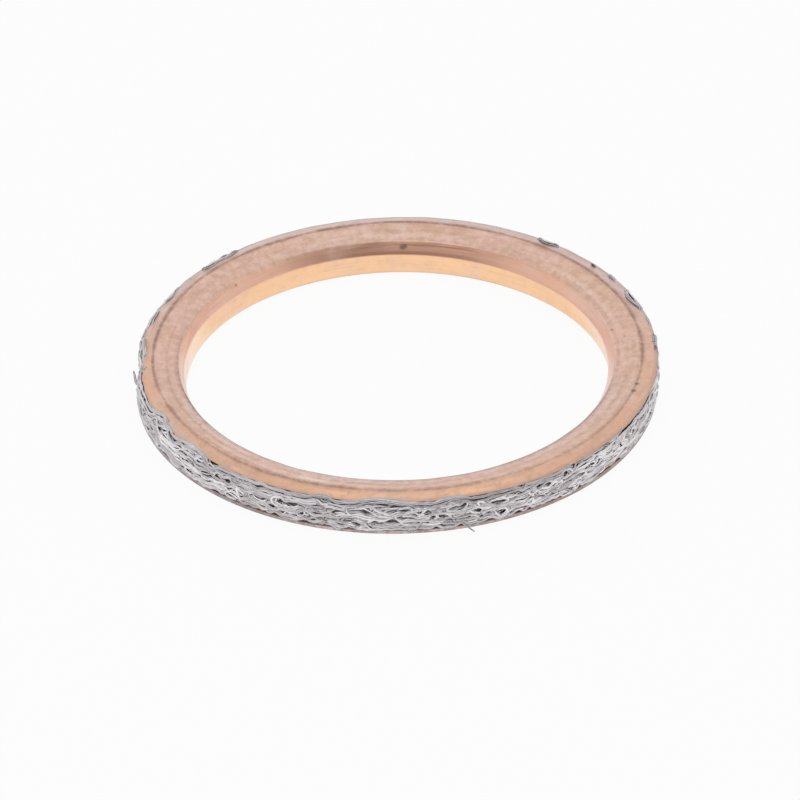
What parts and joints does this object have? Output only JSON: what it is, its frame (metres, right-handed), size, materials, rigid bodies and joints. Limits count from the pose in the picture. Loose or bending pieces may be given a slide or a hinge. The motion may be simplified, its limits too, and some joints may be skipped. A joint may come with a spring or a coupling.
{
  "type": "exhaust gasket",
  "caption": "Round exhaust port gasket: a folded copper channel, open at its rim, filled with crushed knitted steel wire that seals between cylinder head and exhaust pipe.",
  "frame": {"origin": "on the ring's axis, level with the base face that it lies on", "axes": "+Z along the ring's axis, out of the flared top face"},
  "size_m": [0.0444, 0.0442, 0.0033],
  "materials": {
    "copper": "rolled copper sheet, satin with tarnish",
    "knitted_wire": "crushed knitted wire"
  },
  "bodies": {
    "root": {"copper_jacket": "copper", "mesh_filler": "knitted_wire"}
  },
  "joints": []
}
